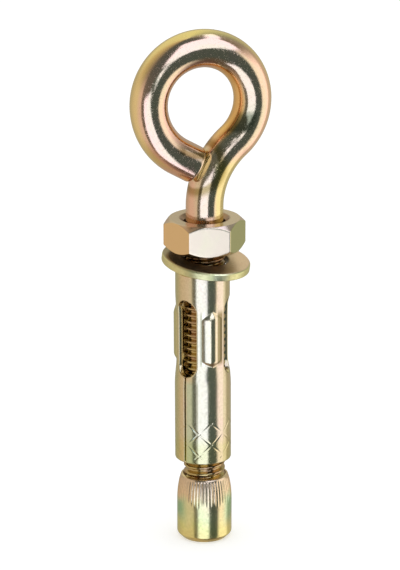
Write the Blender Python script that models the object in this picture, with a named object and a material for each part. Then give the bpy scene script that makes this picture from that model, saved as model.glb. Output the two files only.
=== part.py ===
"""Eye anchor bolt: a rod bent into a closed eye, with a nut, a washer, a rolled expansion sleeve and a
fluted cone nut on its threaded shank. Metres, +Z up. The origin is the middle of the shank's flat end."""

import math

import bmesh
import bpy
from mathutils import Matrix, Vector

MM = 0.001
CLEARANCE = 0.3 * MM
FACET_ANGLE = math.radians(30)

# Bent rod with its threaded shank
ROD_RADIUS = 3.35 * MM
THREAD_RADIUS = 3.45 * MM
THREAD_RUNOUT = 0.4 * MM
THREAD_INTO_COUNTERSINK = 0.5 * MM
ROD_END_CHAMFER = 0.5 * MM
ROD_SIDES = 24

# The eye: a loop that the rod enters through a reverse bend. Its short straight tail leans out of the
# loop's plane, so that the tip lies against the front of the neck.
EYE_RADIUS = 9.7 * MM
EYE_OFFSET = 0.76 * MM
EYE_ABOVE_NUT = 21.0 * MM
EYE_TURN = math.radians(19.8)
NECK_BEND_RADIUS = 14.85 * MM
TAIL_START = math.radians(184)
TAIL_RADIUS = 10.65 * MM
TAIL_END = math.radians(239.8)
TAIL_STRAIGHT = 3.6 * MM
TAIL_LEAN = 1.05 * MM
TAIL_LEAN_LENGTH = 25.0 * MM
TIP_ROUNDING = 0.45 * MM
EYE_STEP = math.radians(6)
NECK_STEPS = 8

# Cone nut: a tapered nose with straight flutes over a plain base
CONE_INSET = 0.05 * MM
CONE_HEIGHT = 12.04 * MM
CONE_BASE_CHAMFER = 0.9 * MM
CONE_NOSE_HEIGHT = 5.6 * MM
CONE_RIM_WALL = 0.45 * MM
FLUTE_COUNT = 36
FLUTE_DEPTH = 0.12 * MM

# Expansion sleeve: rolled sheet with three windows, three pressed ribs and one slit
SLEEVE_ABOVE_CONE = 3.2 * MM
SLEEVE_LENGTH = 35.2 * MM
SLEEVE_WALL = 0.9 * MM
SLEEVE_PLAY = 0.65 * MM
COLLAR_PLAY = 0.48 * MM
SLEEVE_EDGE = 0.25 * MM
STRIP_COUNT = 3
WINDOW_AZIMUTH = math.radians(-40)
WINDOW_BELOW_TOP = 4.7 * MM
WINDOW_LENGTH = 14.3 * MM
WINDOW_WIDTH = 4.4 * MM
WAIST_BELOW_WINDOW_TOP = 4.0 * MM
WAIST_ABOVE_WINDOW_BOTTOM = 2.8 * MM
WAIST_REACH = 5.0 * MM
RIB_HEIGHT = 0.5 * MM
RIB_WIDTH = 4.3 * MM
RIB_BELOW_WINDOW_TOP = 1.0 * MM
RIB_UPPER_TAPER = 3.0 * MM
RIB_LOWER_TAPER = 1.6 * MM
RIB_OFFSET = math.radians(2)
ROW_GAP = 0.1 * MM
SLIT_WIDTH = 0.35 * MM

# Washer, which has slid towards its low side and rests there on the sleeve's top edge
WASHER_RADIUS = 7.9 * MM
WASHER_PLAY = 0.75 * MM
WASHER_THICKNESS = 1.38 * MM
WASHER_ROUNDING = 0.3 * MM
WASHER_TILT = math.radians(9)
WASHER_LOW_SIDE = math.radians(60)
WASHER_SIDES = 48

# Hex nut, backed off from the washer
NUT_ACROSS_FLATS = 12.8 * MM
NUT_HEIGHT = 5.6 * MM
NUT_CHAMFER_INSET = 0.1 * MM
NUT_CHAMFER_ANGLE = math.radians(30)
NUT_COUNTERSINK = 0.65 * MM
NUT_TURN = math.radians(8.2)
NUT_ABOVE_WASHER = 0.4 * MM
NUT_SIDES = 48

# Radii that follow the thread
BORE_RADIUS = THREAD_RADIUS + CLEARANCE
WAIST_RADIUS = BORE_RADIUS + SLEEVE_WALL
SLEEVE_RADIUS = THREAD_RADIUS + SLEEVE_PLAY + SLEEVE_WALL
COLLAR_RADIUS = THREAD_RADIUS + COLLAR_PLAY + SLEEVE_WALL
CONE_RADIUS = SLEEVE_RADIUS - CONE_INSET
CONE_RIM_RADIUS = BORE_RADIUS + CONE_RIM_WALL
WASHER_HOLE_RADIUS = THREAD_RADIUS + WASHER_PLAY
NUT_CHAMFER_RADIUS = 0.5 * NUT_ACROSS_FLATS - NUT_CHAMFER_INSET

# Heights on the sleeve, above its lower end
WINDOW_TOP = SLEEVE_LENGTH - WINDOW_BELOW_TOP
WINDOW_BOTTOM = WINDOW_TOP - WINDOW_LENGTH
WAIST_HIGH = WINDOW_TOP - WAIST_BELOW_WINDOW_TOP
WAIST_LOW = WINDOW_BOTTOM + WAIST_ABOVE_WINDOW_BOTTOM
RIB_TOP = WINDOW_TOP - RIB_BELOW_WINDOW_TOP
RIB_BOTTOM = WAIST_LOW

# Places along the axis, measured up from the shank's flat end
SLEEVE_BOTTOM = CONE_HEIGHT + SLEEVE_ABOVE_CONE
SLEEVE_TOP = SLEEVE_BOTTOM + SLEEVE_LENGTH
WASHER_SLIDE = WASHER_HOLE_RADIUS - THREAD_RADIUS - 1.5 * CLEARANCE
WASHER_SEAT_RISE = (COLLAR_RADIUS - WASHER_SLIDE) * math.tan(WASHER_TILT)
WASHER_HALF_HEIGHT = 0.5 * WASHER_THICKNESS / math.cos(WASHER_TILT)
WASHER_CENTRE = SLEEVE_TOP + CLEARANCE + WASHER_SEAT_RISE + WASHER_HALF_HEIGHT
WASHER_RIM_RISE = WASHER_RADIUS * math.sin(WASHER_TILT)
NUT_BOTTOM = WASHER_CENTRE + WASHER_HALF_HEIGHT + WASHER_RIM_RISE + NUT_ABOVE_WASHER
NUT_TOP = NUT_BOTTOM + NUT_HEIGHT
THREAD_TOP = NUT_TOP - THREAD_INTO_COUNTERSINK
EYE_CENTRE = NUT_TOP + EYE_ABOVE_NUT


def clear_scene():
    for item in list(bpy.data.objects):
        bpy.data.objects.remove(item)


def plated(name, colour, roughness):
    """Yellow zinc plating in one of its tints."""
    material = bpy.data.materials.new(name)
    material.use_nodes = True
    shader = material.node_tree.nodes["Principled BSDF"]
    shader.inputs["Base Color"].default_value = (*colour, 1.0)
    shader.inputs["Metallic"].default_value = 1.0
    shader.inputs["Roughness"].default_value = roughness
    return material


def place(name, mesh, height=0.0, turn=0.0):
    """Puts a mesh in the scene, with its origin on the bolt's axis."""
    item = bpy.data.objects.new(name, mesh)
    bpy.context.scene.collection.objects.link(item)
    item.location = (0.0, 0.0, height)
    item.rotation_euler = (0.0, 0.0, turn)
    return item


def skin(name, rings, hollow):
    """Joins rings of points into one closed body. A hollow one runs from its last ring back to the first."""
    body = bmesh.new()
    loops = [[body.verts.new(point) for point in ring] for ring in rings]
    pairs = list(zip(loops, loops[1:]))
    if hollow:
        pairs.append((loops[-1], loops[0]))
    for low, high in pairs:
        for i in range(len(low)):
            j = (i + 1) % len(low)
            body.faces.new((low[i], low[j], high[j], high[i]))
    if not hollow:
        body.faces.new(loops[0])
        body.faces.new(loops[-1])
    bmesh.ops.recalc_face_normals(body, faces=body.faces)
    mesh = bpy.data.meshes.new(name)
    body.to_mesh(mesh)
    body.free()
    return mesh


def finish(item, material):
    """Shades a round piece smooth up to its edges and gives it its plating."""
    item.data.materials.append(material)
    item.data.shade_smooth()
    item.data.set_sharp_from_angle(angle=FACET_ANGLE)


def circle(radius, height, sides):
    """Points of a level circle. The radius may be a function of the azimuth."""
    points = []
    for i in range(sides):
        azimuth = 2 * math.pi * i / sides
        r = radius(azimuth) if callable(radius) else radius
        points.append((r * math.cos(azimuth), r * math.sin(azimuth), height))
    return points


def turned(name, profile, sides, hollow=True):
    """A turned body from (radius, height) points."""
    return skin(name, [circle(r, z, sides) for r, z in profile], hollow)


def cut(item, cutter, operation="DIFFERENCE"):
    """Cuts one body with another, which stays in the scene as a hidden guide."""
    cutter.hide_render = True
    cutter.display_type = "WIRE"
    modifier = item.modifiers.new(cutter.name, "BOOLEAN")
    modifier.operation = operation
    modifier.solver = "EXACT"
    modifier.object = cutter


# Bent rod


def arc(centre, radius, start, end, step):
    """Points of an arc after its first one, as (along, height) in the plane of the eye."""
    count = max(2, math.ceil(abs(end - start) / step))
    angles = [start + (end - start) * i / count for i in range(1, count + 1)]
    return [(centre[0] + radius * math.cos(a), centre[1] + radius * math.sin(a)) for a in angles]


def eye_path():
    """Centreline from the top of the thread to the tip, as (along, height) in the plane of the eye."""
    centre = (-EYE_OFFSET, EYE_CENTRE)
    reach = EYE_RADIUS + NECK_BEND_RADIUS
    entry = math.acos((NECK_BEND_RADIUS + EYE_OFFSET) / reach)
    bend_start = EYE_CENTRE - reach * math.sin(entry)
    bend_centre = (NECK_BEND_RADIUS, bend_start)
    shift = EYE_RADIUS - TAIL_RADIUS
    tail_centre = (centre[0] + shift * math.cos(TAIL_START), centre[1] + shift * math.sin(TAIL_START))

    path = [(0.0, bend_start)]
    path += arc(bend_centre, NECK_BEND_RADIUS, math.pi, math.pi - entry, entry / NECK_STEPS)
    path += arc(centre, EYE_RADIUS, -entry, TAIL_START, EYE_STEP)
    path += arc(tail_centre, TAIL_RADIUS, TAIL_START, TAIL_END, EYE_STEP)
    heading = (-math.sin(TAIL_END), math.cos(TAIL_END))
    end = path[-1]
    for run in (TAIL_STRAIGHT - TIP_ROUNDING, TAIL_STRAIGHT - 0.3 * TIP_ROUNDING, TAIL_STRAIGHT):
        path.append((end[0] + run * heading[0], end[1] + run * heading[1]))
    return path


def rod_stations():
    """(along, height, radius) of each ring of the rod, from its flat end to its tip."""
    stations = [
        (0.0, 0.0, THREAD_RADIUS - ROD_END_CHAMFER),
        (0.0, ROD_END_CHAMFER, THREAD_RADIUS),
        (0.0, THREAD_TOP - THREAD_RUNOUT, THREAD_RADIUS),
        (0.0, THREAD_TOP, ROD_RADIUS),
    ]
    path = eye_path()
    stations += [(x, z, ROD_RADIUS) for x, z in path[:-2]]
    stations.append((*path[-2], ROD_RADIUS - 0.3 * TIP_ROUNDING))
    stations.append((*path[-1], ROD_RADIUS - TIP_ROUNDING))
    return stations


def lean_outward(points, across):
    """Moves the last stretch of the centreline out of the plane of the eye, a little more towards its tip."""
    to_tip = 0.0
    leaning = [points[-1] + across * TAIL_LEAN]
    for point, after in zip(reversed(points[:-1]), reversed(points[1:])):
        to_tip += (after - point).length
        share = smooth(1 - to_tip / TAIL_LEAN_LENGTH)
        leaning.append(point + across * TAIL_LEAN * share)
    return leaning[::-1]


def rod_rings():
    """A round section square to the path at each station."""
    stations = rod_stations()
    along = Vector((math.cos(EYE_TURN), math.sin(EYE_TURN), 0.0))
    up = Vector((0.0, 0.0, 1.0))
    across = along.cross(up)
    points = lean_outward([along * x + up * z for x, z, _ in stations], across)
    rings = []
    for i, point in enumerate(points):
        before = points[max(i - 1, 0)]
        after = points[min(i + 1, len(points) - 1)]
        heading = (after - before).normalized()
        side = heading.cross(across).normalized()
        front = side.cross(heading)
        ring = []
        for k in range(ROD_SIDES):
            angle = 2 * math.pi * k / ROD_SIDES
            offset = side * math.cos(angle) + front * math.sin(angle)
            ring.append(point + offset * stations[i][2])
        rings.append(ring)
    return rings


def make_eye_bolt():
    item = place("eye_bolt", skin("eye_bolt", rod_rings(), hollow=False))
    finish(item, plated("rod_plating", (0.78, 0.66, 0.42), 0.25))


# Cone nut


def cone_radius(height):
    """Outer radius of the cone nut: a straight base that rounds over into the rim."""
    nose_start = CONE_HEIGHT - CONE_NOSE_HEIGHT
    if height <= nose_start:
        return CONE_RADIUS
    share = (height - nose_start) / CONE_NOSE_HEIGHT
    return CONE_RADIUS - (CONE_RADIUS - CONE_RIM_RADIUS) * share**2.6


def flute_depth(height):
    """The flutes fade out where the nose meets the base."""
    nose_start = CONE_HEIGHT - CONE_NOSE_HEIGHT
    share = (height - nose_start) / CONE_NOSE_HEIGHT
    return FLUTE_DEPTH * min(1.0, max(0.0, 2.5 * share))


def fluted_ring(height):
    """Two points a flute: its crest and its root."""
    ring = []
    for i in range(2 * FLUTE_COUNT):
        azimuth = math.pi * i / FLUTE_COUNT
        r = cone_radius(height) - (flute_depth(height) if i % 2 else 0.0)
        ring.append((r * math.cos(azimuth), r * math.sin(azimuth), height))
    return ring


def make_cone_nut():
    nose_start = CONE_HEIGHT - CONE_NOSE_HEIGHT
    nose = [nose_start + CONE_NOSE_HEIGHT * share for share in (0.0, 0.15, 0.4, 0.6, 0.78, 0.9, 1.0)]
    sides = 2 * FLUTE_COUNT
    rings = [
        circle(BORE_RADIUS, CONE_HEIGHT, sides),
        circle(BORE_RADIUS, 0.0, sides),
        circle(CONE_RADIUS - CONE_BASE_CHAMFER, 0.0, sides),
        circle(CONE_RADIUS, CONE_BASE_CHAMFER, sides),
    ]
    rings += [fluted_ring(height) for height in nose]
    item = place("cone_nut", skin("cone_nut", rings, hollow=True))
    finish(item, plated("cone_plating", (0.72, 0.68, 0.42), 0.3))


# Expansion sleeve


def smooth(share):
    share = min(1.0, max(0.0, share))
    return share * share * (3 - 2 * share)


def sleeve_radius(height):
    """Outer radius of the plain wall: a waist that almost grips the thread, and wider above and below it."""
    above = (COLLAR_RADIUS - WAIST_RADIUS) * smooth((height - WAIST_HIGH) / WAIST_REACH)
    below = (SLEEVE_RADIUS - WAIST_RADIUS) * smooth((WAIST_LOW - height) / WAIST_REACH)
    return WAIST_RADIUS + above + below


def rib_rise(azimuth, height):
    """How far a rib stands out, at an azimuth measured from its crest. It tapers to a point at each end."""
    ends = smooth((height - RIB_BOTTOM) / RIB_LOWER_TAPER) * smooth((RIB_TOP - height) / RIB_UPPER_TAPER)
    half_width = 0.5 * RIB_WIDTH * ends / SLEEVE_RADIUS
    if half_width == 0.0 or abs(azimuth) >= half_width:
        return 0.0
    return RIB_HEIGHT * ends * math.cos(0.5 * math.pi * azimuth / half_width)


def sleeve_azimuths():
    """(azimuth, azimuth from the nearest rib's crest) around the sleeve, closest over the ribs."""
    rib = 0.5 * RIB_WIDTH / SLEEVE_RADIUS
    half_strip = math.pi / STRIP_COUNT
    over_rib = [0.0, 0.33 * rib, 0.67 * rib, rib]
    beside_rib = [0.45 * half_strip + 0.1 * rib, 0.6 * half_strip, 0.8 * half_strip]
    offsets = over_rib + beside_rib
    offsets = sorted([-x for x in offsets if x > 0] + offsets) + [half_strip]
    window = WINDOW_AZIMUTH - 0.5 * math.pi
    stations = []
    for strip in range(STRIP_COUNT):
        middle = window + half_strip * (2 * strip + 1)
        stations += [(middle + RIB_OFFSET + x, x) for x in offsets]
    return stations


def sleeve_heights():
    """Heights above the sleeve's lower end where its wall changes."""
    rows = [SLEEVE_EDGE, 0.5 * (WAIST_LOW - WAIST_REACH), 0.5 * (WAIST_LOW + WAIST_HIGH)]
    for share in (0.0, 0.25, 0.5, 0.75, 1.0):
        rows.append(WAIST_LOW - share * WAIST_REACH)
        rows.append(WAIST_HIGH + share * WAIST_REACH)
        rows.append(RIB_BOTTOM + share * RIB_LOWER_TAPER)
        rows.append(RIB_TOP - share * RIB_UPPER_TAPER)
    rows.sort()
    spaced = rows[:1]
    for row in rows[1:]:
        if row - spaced[-1] > ROW_GAP:
            spaced.append(row)
    return spaced + [SLEEVE_LENGTH - SLEEVE_EDGE]


def sleeve_ring(height, inset, at=None):
    """One ring of the wall, set in from its outer surface. Its own height may differ from its shape's."""
    ring = []
    for azimuth, from_rib in sleeve_azimuths():
        r = sleeve_radius(height) + rib_rise(from_rib, height) - inset
        ring.append((r * math.cos(azimuth), r * math.sin(azimuth), height if at is None else at))
    return ring


def window_cutter(index):
    """A radial prism with round ends, through one window of the sleeve."""
    radius = 0.5 * WINDOW_WIDTH
    outline = []
    for middle, start in ((WINDOW_TOP - radius, 0.0), (WINDOW_BOTTOM + radius, math.pi)):
        for i in range(9):
            angle = start + math.pi * i / 8
            outline.append((radius * math.cos(angle), middle + radius * math.sin(angle)))
    near = 0.5 * THREAD_RADIUS
    far = 2 * SLEEVE_RADIUS
    rings = [[(distance, x, z) for x, z in outline] for distance in (near, far)]
    name = f"window_{index}_guide"
    azimuth = WINDOW_AZIMUTH - 0.5 * math.pi + 2 * math.pi * index / STRIP_COUNT
    return place(name, skin(name, rings, hollow=False), SLEEVE_BOTTOM, azimuth)


def slit_cutter():
    """A thin blade from the first window down through the sleeve's lower end."""
    top = 0.5 * (WINDOW_BOTTOM + WINDOW_TOP)
    half = 0.5 * SLIT_WIDTH
    outline = [(-half, -SLEEVE_RADIUS), (half, -SLEEVE_RADIUS), (half, top), (-half, top)]
    near = 0.5 * THREAD_RADIUS
    far = 2 * SLEEVE_RADIUS
    rings = [[(distance, x, z) for x, z in outline] for distance in (near, far)]
    mesh = skin("slit_guide", rings, hollow=False)
    return place("slit_guide", mesh, SLEEVE_BOTTOM, WINDOW_AZIMUTH - 0.5 * math.pi)


def make_sleeve():
    heights = sleeve_heights()
    rings = [sleeve_ring(heights[0], SLEEVE_EDGE, at=0.0)]
    rings += [sleeve_ring(height, 0.0) for height in heights]
    rings.append(sleeve_ring(heights[-1], SLEEVE_EDGE, at=SLEEVE_LENGTH))
    rings.append(sleeve_ring(heights[-1], SLEEVE_WALL, at=SLEEVE_LENGTH))
    rings += [sleeve_ring(height, SLEEVE_WALL) for height in reversed(heights)]
    rings.append(sleeve_ring(heights[0], SLEEVE_WALL, at=0.0))
    item = place("expansion_sleeve", skin("expansion_sleeve", rings, hollow=True), SLEEVE_BOTTOM)
    for index in range(STRIP_COUNT):
        cut(item, window_cutter(index))
    cut(item, slit_cutter())
    finish(item, plated("sleeve_plating", (0.8, 0.74, 0.52), 0.28))


# Washer


def make_washer():
    half = 0.5 * WASHER_THICKNESS
    flat = half - WASHER_ROUNDING
    outer = WASHER_RADIUS - WASHER_ROUNDING
    inner = WASHER_HOLE_RADIUS + WASHER_ROUNDING
    slant = WASHER_ROUNDING * (1 - math.sqrt(0.5))
    profile = [
        (outer, -half),
        (WASHER_RADIUS - slant, slant - half),
        (WASHER_RADIUS, -flat),
        (WASHER_RADIUS, flat),
        (WASHER_RADIUS - slant, half - slant),
        (outer, half),
        (inner, half),
        (WASHER_HOLE_RADIUS, flat),
        (WASHER_HOLE_RADIUS, -flat),
        (inner, -half),
    ]
    item = place("washer", turned("washer", profile, WASHER_SIDES), WASHER_CENTRE)
    low_side = Vector((math.sin(WASHER_LOW_SIDE), -math.cos(WASHER_LOW_SIDE), 0.0))
    item.location += low_side * WASHER_SLIDE
    tilt_axis = Vector((0.0, 0.0, 1.0)).cross(low_side)
    item.rotation_euler = Matrix.Rotation(WASHER_TILT, 3, tilt_axis).to_euler()
    finish(item, plated("washer_plating", (0.7, 0.66, 0.34), 0.3))


# Hex nut


def make_nut():
    corner = 0.5 * NUT_ACROSS_FLATS / math.cos(math.pi / 6)
    face = [math.pi / 3 * i for i in range(6)]
    hexagon = [[(corner * math.cos(a), corner * math.sin(a), z) for a in face] for z in (0.0, NUT_HEIGHT)]
    item = place("hex_nut", skin("hex_nut", hexagon, hollow=False), NUT_BOTTOM, NUT_TURN)

    spare = 2 * (corner - NUT_CHAMFER_RADIUS)
    drop = spare * math.tan(NUT_CHAMFER_ANGLE)
    wide = NUT_CHAMFER_RADIUS + spare
    blank = [
        (NUT_CHAMFER_RADIUS, 0.0),
        (wide, drop),
        (wide, NUT_HEIGHT - drop),
        (NUT_CHAMFER_RADIUS, NUT_HEIGHT),
    ]
    chamfers = turned("nut_chamfer_guide", blank, NUT_SIDES, hollow=False)
    cut(item, place("nut_chamfer_guide", chamfers, NUT_BOTTOM, NUT_TURN), "INTERSECT")

    sink = NUT_COUNTERSINK
    mouth = BORE_RADIUS + 2 * sink
    bore = [(mouth, -sink), (BORE_RADIUS, sink), (BORE_RADIUS, NUT_HEIGHT - sink), (mouth, NUT_HEIGHT + sink)]
    cutter = turned("nut_bore_guide", bore, NUT_SIDES, hollow=False)
    cut(item, place("nut_bore_guide", cutter, NUT_BOTTOM))
    finish(item, plated("nut_plating", (0.82, 0.66, 0.42), 0.26))


clear_scene()
make_eye_bolt()
make_cone_nut()
make_sleeve()
make_washer()
make_nut()
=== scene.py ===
"""Looks of the eye anchor bolt: yellow zinc plating on every piece, a rolled thread, a pressed sleeve with
its diamond pattern, a fluted cone nut, and the studio that shows in the metal. Metres, +Z up."""

import math

import bmesh
import bpy
import numpy as np
from mathutils import Matrix, Vector


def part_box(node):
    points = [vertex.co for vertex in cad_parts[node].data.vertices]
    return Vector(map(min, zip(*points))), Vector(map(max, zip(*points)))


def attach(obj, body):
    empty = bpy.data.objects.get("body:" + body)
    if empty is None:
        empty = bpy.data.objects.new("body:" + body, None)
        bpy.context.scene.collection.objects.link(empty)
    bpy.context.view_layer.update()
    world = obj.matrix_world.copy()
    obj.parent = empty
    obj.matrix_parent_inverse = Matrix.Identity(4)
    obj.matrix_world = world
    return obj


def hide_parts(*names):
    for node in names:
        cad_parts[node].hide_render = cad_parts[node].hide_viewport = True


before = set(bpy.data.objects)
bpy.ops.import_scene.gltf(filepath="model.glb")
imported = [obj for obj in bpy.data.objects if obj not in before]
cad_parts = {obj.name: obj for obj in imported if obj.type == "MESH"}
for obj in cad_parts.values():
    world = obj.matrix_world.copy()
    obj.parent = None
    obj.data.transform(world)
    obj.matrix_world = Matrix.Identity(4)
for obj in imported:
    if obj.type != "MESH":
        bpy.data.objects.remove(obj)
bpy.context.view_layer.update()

MM = 0.001
UP = Vector((0.0, 0.0, 1.0))
SHARP_ANGLE = math.radians(38)

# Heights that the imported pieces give
SLEEVE_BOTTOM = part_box("expansion_sleeve")[0][2]
SLEEVE_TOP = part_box("expansion_sleeve")[1][2]
SLEEVE_LENGTH = SLEEVE_TOP - SLEEVE_BOTTOM
CONE_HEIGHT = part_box("cone_nut")[1][2]
NUT_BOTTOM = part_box("hex_nut")[0][2]
NUT_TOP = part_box("hex_nut")[1][2]
NUT_HEIGHT = NUT_TOP - NUT_BOTTOM

# Bent rod
ROD_RADIUS = 3.35 * MM
ROD_SIDES = 72
ROD_STEP = 0.3 * MM
EYE_RADIUS = 9.7 * MM
EYE_OFFSET = 0.76 * MM
EYE_ABOVE_NUT = 21.0 * MM
EYE_TURN = math.radians(19.8)
NECK_BEND_RADIUS = 14.85 * MM
TAIL_START = math.radians(184)
TAIL_RADIUS = 10.65 * MM
TAIL_END = math.radians(239.8)
TAIL_STRAIGHT = 3.6 * MM
TAIL_LEAN = 1.05 * MM
TAIL_LEAN_LENGTH = 25.0 * MM
TIP_ROUNDING = 0.45 * MM
TIP_STEPS = 6
CUT_FACE_RINGS = (0.6, 0.2)

# Rolled thread
THREAD_PITCH = 1.25 * MM
THREAD_CREST = 3.72 * MM
THREAD_ROOT = 3.12 * MM
THREAD_CREST_SHARE = 0.16
THREAD_ROOT_SHARE = 0.84
THREAD_INTO_COUNTERSINK = 0.5 * MM
THREAD_RINGS_A_TURN = 14
ROD_END_CHAMFER = 0.8 * MM

# Cone nut
BORE_RADIUS = 3.75 * MM
CONE_RADIUS = 4.95 * MM
CONE_BASE_ROUNDING = 0.9 * MM
CONE_BASE_CORNER = 0.4 * MM
CONE_SIDE_CORNER = 0.6 * MM
CONE_BORE_CHAMFER = 0.3 * MM
CONE_BORE_BELOW_RIM = 0.25 * MM
CONE_NOSE_HEIGHT = 5.6 * MM
CONE_NOSE_POWER = 2.6
CONE_NOSE_OVERLAP = 0.4 * MM
CONE_NOSE_ROWS = 44
CONE_RIM_RADIUS = 4.2 * MM
CONE_RIM_ROUNDING = 0.2 * MM
CONE_RIM_RING = 0.12 * MM
FLUTE_COUNT = 54
FLUTE_DEPTH = 0.07 * MM
FLUTE_POWER = 0.8
FLUTE_SIDES = 8
FLUTES_BELOW_RIM = 0.35 * MM

# Expansion sleeve. It hangs loosely, a little to the left of the bolt's axis.
SLEEVE_SHIFT_BELOW = -0.24 * MM
SLEEVE_SHIFT_ABOVE = -0.36 * MM
SLEEVE_RADIUS = 5.05 * MM
COLLAR_RADIUS = 4.88 * MM
WAIST_RADIUS = 4.72 * MM
SLEEVE_WALL = 0.8 * MM
SLEEVE_EDGE = 0.25 * MM
STRIP_COUNT = 3
WINDOW_AZIMUTH = math.radians(-40)
WINDOW_BELOW_TOP = 4.7 * MM
WINDOW_LENGTH = 14.3 * MM
WINDOW_WIDTH = 4.4 * MM
WINDOW_ROLL = 0.22 * MM
WAIST_BELOW_WINDOW_TOP = 4.0 * MM
WAIST_ABOVE_WINDOW_BOTTOM = 2.8 * MM
WAIST_REACH = 5.0 * MM
RIB_HEIGHT = 0.5 * MM
RIB_WIDTH = 4.3 * MM
RIB_BELOW_WINDOW_TOP = 1.5 * MM
RIB_UPPER_TAPER = 2.0 * MM
RIB_LOWER_TAPER = 1.6 * MM
RIB_BELOW_WAIST = 1.0 * MM
RIB_OFFSET = math.radians(2)
SLIT_WIDTH = 0.35 * MM
SLIT_ROLL = 0.15 * MM

# The sleeve's grid. Rows are in millimetres, columns are shares of a strip's width.
PATTERN_ROWS = (0.8, 8.6, 0.11)
BODY_ROWS = (8.7, 15.8, 9)
ROWS_PAST_WINDOW = (0.0, 0.03, 0.08, 0.14, 0.22, 0.35)
CLOSEST_ROWS = 0.015 * MM
EDGE_COLUMNS = (0.0, 0.004, 0.01, 0.018, 0.028)
MIDDLE_COLUMNS = (0.038, 0.962, 72)
WELD_DISTANCE = 0.002 * MM

# Diamond pattern pressed round the sleeve's lower end. Its heights are the anchor's own.
DIAMOND_COUNT = 7
DIAMOND_AZIMUTH = math.radians(-8)
DIAMOND_BOTTOM = 16.1 * MM
DIAMOND_TOP = 23.4 * MM
DIAMOND_HEIGHT = 4.1 * MM
DIAMOND_CROSSING = 20.97 * MM
GROOVE_WIDTH = 0.3 * MM
GROOVE_DEPTH = 0.08 * MM

# Washer
WASHER_RADIUS = 7.9 * MM
WASHER_HOLE_RADIUS = 4.0 * MM
WASHER_THICKNESS = 1.38 * MM
WASHER_ROUNDINGS = (0.15 * MM, 0.15 * MM, 0.4 * MM, 0.25 * MM)
WASHER_SIDES = 192
WASHER_TILT = math.radians(9)
WASHER_LOW_SIDE = math.radians(60)
WASHER_SLIDE = 0.3 * MM
WASHER_HOLE_SLIDE = 0.12 * MM

# Hex nut
NUT_ACROSS_FLATS = 12.8 * MM
NUT_CHAMFER_INSET = 0.1 * MM
NUT_CHAMFER_ANGLE = math.radians(42)
NUT_COUNTERSINK = 0.65 * MM
NUT_TURN = math.radians(8.2)
NUT_CORNER_ROUNDING = 0.3 * MM
NUT_EDGE_ROUNDING = 0.12 * MM

# Azimuths of the nut's columns in degrees: beside an upright edge, and across a flat
NUT_CORNER_STEPS = (0.0, 0.5, 1.0, 1.4, 1.8, 2.2, 2.6)
NUT_FLAT_STEPS = (3.5, 56.5, 26)

# Camera, looking down on the anchor from the front
CAMERA_AIM = Vector((-0.8 * MM, 0.0, 47.57 * MM))
CAMERA_DISTANCE = 570 * MM
CAMERA_TILT = math.radians(17.5)
CAMERA_LENS = 202.36
CAMERA_SENSOR = 36.0
CAMERA_CLIP_END = 10.0


def smooth(share):
    """Eases from 0 to 1. Takes numbers or arrays."""
    share = np.clip(share, 0.0, 1.0)
    return share * share * (3 - 2 * share)


def quarter_round(distance, radius):
    """How far a rounded edge has fallen, at a distance in from that edge."""
    share = 1 - np.clip(distance / radius, 0.0, 1.0)
    return radius * (1 - np.sqrt(1 - share * share))


# Meshes


def skin(name, rings, hollow):
    """One closed body from rings of points, each ring closed on itself."""
    rings = np.asarray(rings)
    count, sides = rings.shape[:2]
    last = count if hollow else count - 1
    row = np.arange(last)[:, None]
    column = np.arange(sides)[None, :]
    low = row * sides
    high = ((row + 1) % count) * sides
    beside = (column + 1) % sides
    quads = np.stack([low + column, low + beside, high + beside, high + column], axis=-1).reshape(-1, 4)
    faces = quads.tolist()
    if not hollow:
        faces.append(list(range(sides - 1, -1, -1)))
        faces.append(list(range((count - 1) * sides, count * sides)))
    mesh = bpy.data.meshes.new(name)
    mesh.from_pydata(rings.reshape(-1, 3).tolist(), [], faces)
    mesh.validate()
    return mesh


def add_piece(name, mesh, material, node, body):
    """Puts a detailed piece in place of its plain node."""
    mesh.materials.append(material)
    mesh.shade_smooth()
    mesh.set_sharp_from_angle(angle=SHARP_ANGLE)
    piece = bpy.data.objects.new(name, mesh)
    bpy.context.scene.collection.objects.link(piece)
    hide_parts(node)
    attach(piece, body)
    return piece


def round_points(radius, azimuths, height):
    """Points from their radius, azimuth and height, each one number or a matching array."""
    across = radius * np.cos(azimuths)
    return np.stack([across, radius * np.sin(azimuths), np.broadcast_to(height, across.shape)], axis=-1)


def turned_rings(profile, azimuths):
    """Rings of a turned body from (radius, height) points."""
    radius, height = np.asarray(profile).T[:, :, None]
    return round_points(radius, azimuths, height)


def even_azimuths(sides):
    return 2 * math.pi * np.arange(sides) / sides


def rounded_corner(corner, before, after, radius, steps=5):
    """Points that round off one corner of a (radius, height) profile."""
    corner = Vector(corner)
    into = (Vector(before) - corner).normalized()
    out = (Vector(after) - corner).normalized()
    half = 0.5 * into.angle(out)
    reach = radius / math.tan(half)
    centre = corner + (into + out).normalized() * (radius / math.sin(half))
    start = corner + into * reach - centre
    end = corner + out * reach - centre
    points = []
    for i in range(steps + 1):
        direction = start.lerp(end, i / steps).normalized()
        points.append(tuple(centre + direction * radius))
    return points


# Bent rod with its thread


def arc(centre, radius, start, end):
    """Points of an arc after its first one, as (along, height) in the plane of the eye."""
    count = math.ceil(abs(end - start) * radius / ROD_STEP)
    angles = start + (end - start) * np.arange(1, count + 1) / count
    return np.stack([centre[0] + radius * np.cos(angles), centre[1] + radius * np.sin(angles)], axis=1)


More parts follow.
